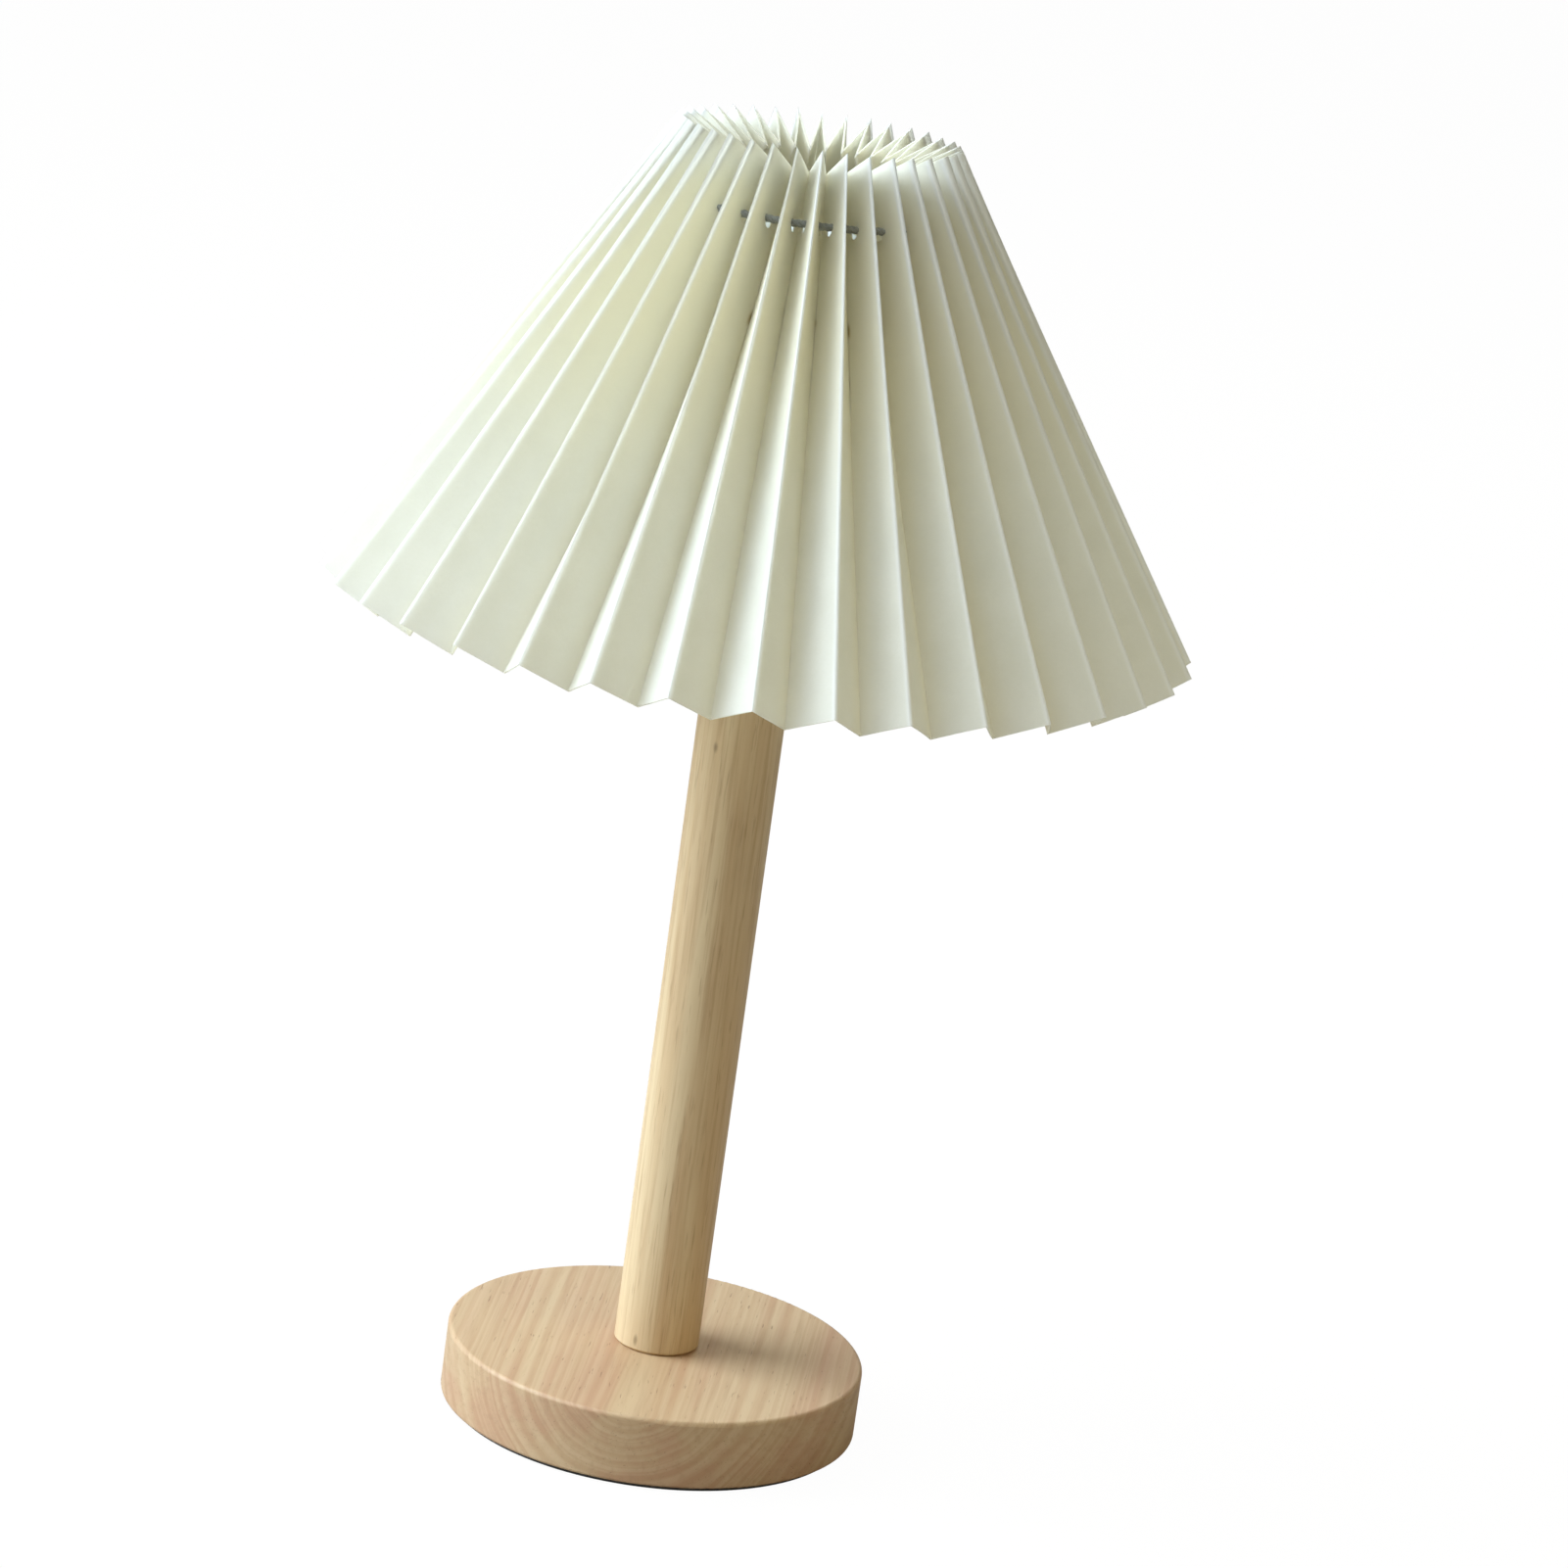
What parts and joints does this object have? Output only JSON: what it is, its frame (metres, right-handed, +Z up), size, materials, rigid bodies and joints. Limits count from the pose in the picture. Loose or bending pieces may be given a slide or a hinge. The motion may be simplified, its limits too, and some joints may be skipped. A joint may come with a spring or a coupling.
{
  "type": "pleated table lamp",
  "caption": "Table lamp with a cone shade of accordion-pleated paper on a wire carrier, a round wooden pole and a round wooden base.",
  "frame": {"origin": "centre of the lamp's underside, on the surface it stands on", "axes": "+Z up along the pole; +Y towards the back, where the lead's outlet is in the rim of the base"},
  "size_m": [0.22, 0.22, 0.3366],
  "materials": {
    "wood_base": "clear matt varnish",
    "wood_pole": "clear matt varnish",
    "pad": "matt foam rubber",
    "gland": "moulded",
    "steel": "zinc plated",
    "holder": "moulded",
    "ceramic": "glazed",
    "brass": "pressed",
    "nickel": "nickel plated",
    "carrier": "white powder coat",
    "solder": "solder",
    "bulb_black": "moulded",
    "bulb_white": "moulded",
    "board": "circuit board",
    "led_plate": "white coated aluminium",
    "led": "phosphor",
    "bulb_globe": "opal",
    "paper": "pleated paper, matt",
    "string": "twisted cord"
  },
  "bodies": {
    "stand": {"base_disc": "wood_base", "anti_slip_pad": "pad", "cord_gland": "gland", "base_washer": "steel", "base_nut": "steel", "pole": "wood_pole", "threaded_tube": "steel", "pole_washer": "steel", "holder_cap": "holder", "holder_body": "holder", "terminal_block": "ceramic", "terminal_clamps": "brass", "terminal_screws": "steel", "screw_shell": "nickel", "centre_contact": "brass", "side_contact": "brass", "fitter_plate": "carrier", "carrier_spokes": "carrier", "carrier_ring": "carrier"},
    "clamp_ring": {"retaining_ring": "holder"},
    "shade": {"pleated_shade": "paper", "drawstring": "string"},
    "bulb_foot": {"bulb_contact": "solder", "bulb_insulator": "bulb_black"},
    "bulb": {"bulb_cap": "nickel", "bulb_housing": "bulb_white", "bulb_driver_board": "board", "bulb_led_board": "led_plate", "bulb_leds": "led", "bulb_diffuser": "bulb_globe"}
  },
  "joints": [
    {"name": "shade_lift", "type": "slide", "parent": "stand", "child": "shade", "axis": [0, 0, 1], "range_m": [0, 0.11]},
    {"name": "ring_turn", "type": "hinge", "parent": "stand", "child": "clamp_ring", "pos_m": [0, 0, 0.245], "axis": [0, 0, 1], "range_deg": [0, 1080]},
    {"name": "bulb_rise", "type": "slide", "parent": "stand", "child": "bulb_foot", "axis": [0, 0, 1], "range_m": [0, 0.0145]},
    {"name": "bulb_turn", "type": "hinge", "parent": "bulb_foot", "child": "bulb", "pos_m": [0, 0, 0.26], "axis": [0, 0, 1], "range_deg": [0, 1800]}
  ],
  "couplings": [
    {"joint": "bulb_rise", "follows": "bulb_turn", "m_per_rad": 0.00044882}
  ]
}
